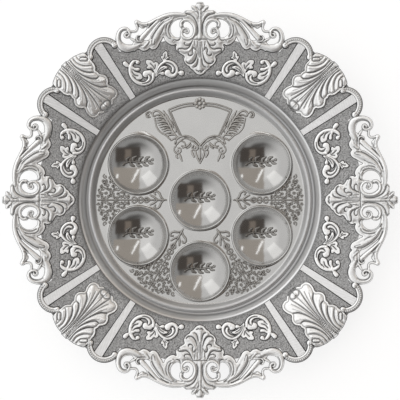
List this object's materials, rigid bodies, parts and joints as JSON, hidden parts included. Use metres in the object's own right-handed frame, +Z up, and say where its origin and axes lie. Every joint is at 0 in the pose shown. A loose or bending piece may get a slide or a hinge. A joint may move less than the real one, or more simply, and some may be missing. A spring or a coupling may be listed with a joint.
{
  "type": "seder plate",
  "caption": "Round footed dish with a lobed, stippled rim and pierced cast ornaments, holding a lift-out polished tray with shallow bowl-shaped wells for small portions of food.",
  "frame": {"origin": "on the table under the centre of the plate, in the plane that the foot ring stands on", "axes": "+Z up, +Y towards the flat plaque of the tray (the top of the picture), +X to the picture's right"},
  "size_m": [0.396, 0.396, 0.0407],
  "materials": {
    "polished_silver": "mirror-polished silver plate",
    "cast_silver": "bright silver-plated casting with dark recesses",
    "oxidised_silver": "stippled, oxidised silver plate on the field, polished in the recess"
  },
  "bodies": {
    "charger": {"foot_ring": "cast_silver", "charger_dish": "oxidised_silver", "cartouche_north": "cast_silver", "cartouche_east": "cast_silver", "cartouche_south": "cast_silver", "cartouche_west": "cast_silver", "shell_northeast": "cast_silver", "shell_southeast": "cast_silver", "shell_southwest": "cast_silver", "shell_northwest": "cast_silver", "edge_moulding_1": "cast_silver", "edge_moulding_2": "cast_silver", "edge_moulding_3": "cast_silver", "edge_moulding_4": "cast_silver", "edge_moulding_5": "cast_silver", "edge_moulding_6": "cast_silver", "edge_moulding_7": "cast_silver", "edge_moulding_8": "cast_silver", "spray_1": "cast_silver", "spray_2": "cast_silver", "spray_3": "cast_silver", "spray_4": "cast_silver", "spray_5": "cast_silver", "spray_6": "cast_silver", "spray_7": "cast_silver", "spray_8": "cast_silver", "strap_1": "polished_silver", "strap_2": "polished_silver", "strap_3": "polished_silver", "strap_4": "polished_silver", "strap_5": "polished_silver", "strap_6": "polished_silver", "strap_7": "polished_silver", "strap_8": "polished_silver"},
    "tray": {"centre_tray": "polished_silver"}
  },
  "joints": [
    {"name": "tray_lift", "type": "slide", "parent": "charger", "child": "tray", "axis": [0, 0, 1], "range_m": [0, 0.06]}
  ]
}
